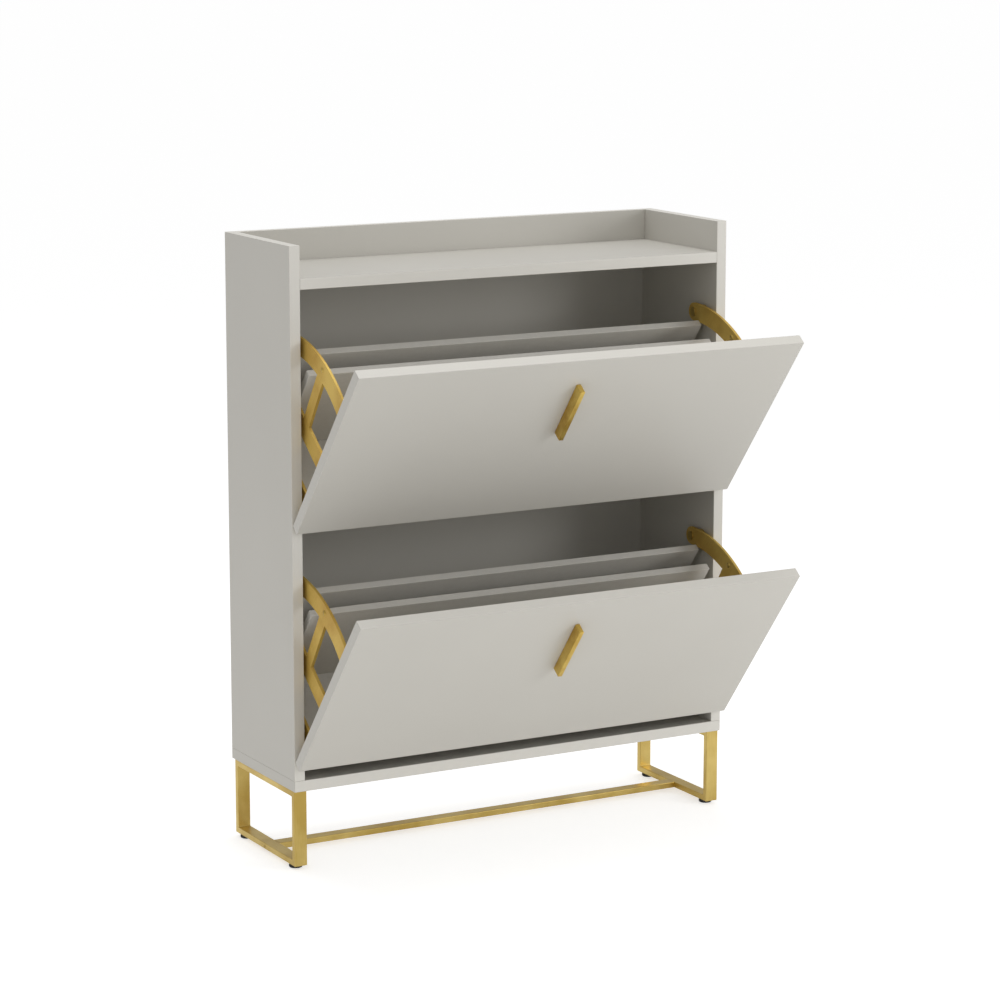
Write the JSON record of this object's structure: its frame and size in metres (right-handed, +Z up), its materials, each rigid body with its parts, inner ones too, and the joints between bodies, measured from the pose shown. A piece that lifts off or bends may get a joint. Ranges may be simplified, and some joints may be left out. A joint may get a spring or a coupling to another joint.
{
  "type": "shoe cabinet",
  "caption": "Slim shoe cabinet with tip-out bins that swing on stay arms, a railed top shelf and a rectangular metal tube base.",
  "frame": {"origin": "on the floor, on the cabinet's centre line, in the plane of the carcass's front edges; with both bins tipped open the bounding box's bottom centre lies within 3 mm of it", "axes": "+Z up, +X to the right seen from the front, +Y to the back, so the doors face -Y"},
  "size_m": [0.8, 0.4742, 1],
  "materials": {
    "painted_board": "satin lacquered board, warm light greige",
    "painted_door": "satin lacquered board, warm light greige",
    "rack_board": "melamine faced board, pale greige",
    "satin_gold": "satin gold plated steel",
    "gold_fastener": "satin gold plated steel",
    "black_nylon": "matt moulded",
    "natural_nylon": "satin moulded",
    "bumper_rubber": "soft, translucent grey",
    "beech": "plain fluted beech",
    "zinc_casting": "die-cast zinc, dull",
    "zinc_steel": "bright zinc plated"
  },
  "bodies": {
    "carcass": {"back_panel": "painted_board", "back_panel_screws": "zinc_steel", "bottom_board": "painted_board", "cam_bolts": "zinc_steel", "cam_locks": "zinc_casting", "carcass_screws": "zinc_steel", "dowels": "beech", "gallery_back": "painted_board", "gallery_screws": "zinc_steel", "glide_back_left": "black_nylon", "glide_back_right": "black_nylon", "glide_front_left": "black_nylon", "glide_front_right": "black_nylon", "leg_frame_left": "satin_gold", "leg_frame_right": "satin_gold", "leg_screws": "gold_fastener", "lower_pivot_pins": "zinc_steel", "lower_stop_bosses": "satin_gold", "side_panel_left": "painted_board", "side_panel_right": "painted_board", "stretcher": "satin_gold", "stretcher_screws": "gold_fastener", "top_shelf": "painted_board", "upper_pivot_pins": "zinc_steel", "upper_stop_bosses": "satin_gold"},
    "upper_bin": {"upper_angle_screws": "zinc_steel", "upper_arm_studs": "satin_gold", "upper_door": "painted_door", "upper_door_angle_left": "satin_gold", "upper_door_angle_right": "satin_gold", "upper_door_bumpers": "bumper_rubber", "upper_frame_bolts": "gold_fastener", "upper_frame_rivets": "gold_fastener", "upper_handle": "satin_gold", "upper_handle_screws": "zinc_steel", "upper_pivot_bushes": "natural_nylon", "upper_rack_divider": "rack_board", "upper_rack_floor": "rack_board", "upper_rack_rear_board": "rack_board", "upper_rack_screws": "zinc_steel", "upper_side_frame_left": "satin_gold", "upper_side_frame_right": "satin_gold"},
    "lower_bin": {"lower_angle_screws": "zinc_steel", "lower_arm_studs": "satin_gold", "lower_door": "painted_door", "lower_door_angle_left": "satin_gold", "lower_door_angle_right": "satin_gold", "lower_door_bumpers": "bumper_rubber", "lower_frame_bolts": "gold_fastener", "lower_frame_rivets": "gold_fastener", "lower_handle": "satin_gold", "lower_handle_screws": "zinc_steel", "lower_pivot_bushes": "natural_nylon", "lower_rack_divider": "rack_board", "lower_rack_floor": "rack_board", "lower_rack_rear_board": "rack_board", "lower_rack_screws": "zinc_steel", "lower_side_frame_left": "satin_gold", "lower_side_frame_right": "satin_gold"}
  },
  "joints": [
    {"name": "upper_bin_tip", "type": "hinge", "parent": "carcass", "child": "upper_bin", "pos_m": [0, 0.008, 0.568], "axis": [-1, 0, 0], "range_deg": [0, 38.67]},
    {"name": "lower_bin_tip", "type": "hinge", "parent": "carcass", "child": "lower_bin", "pos_m": [0, 0.008, 0.186], "axis": [-1, 0, 0], "range_deg": [0, 38.67]}
  ]
}
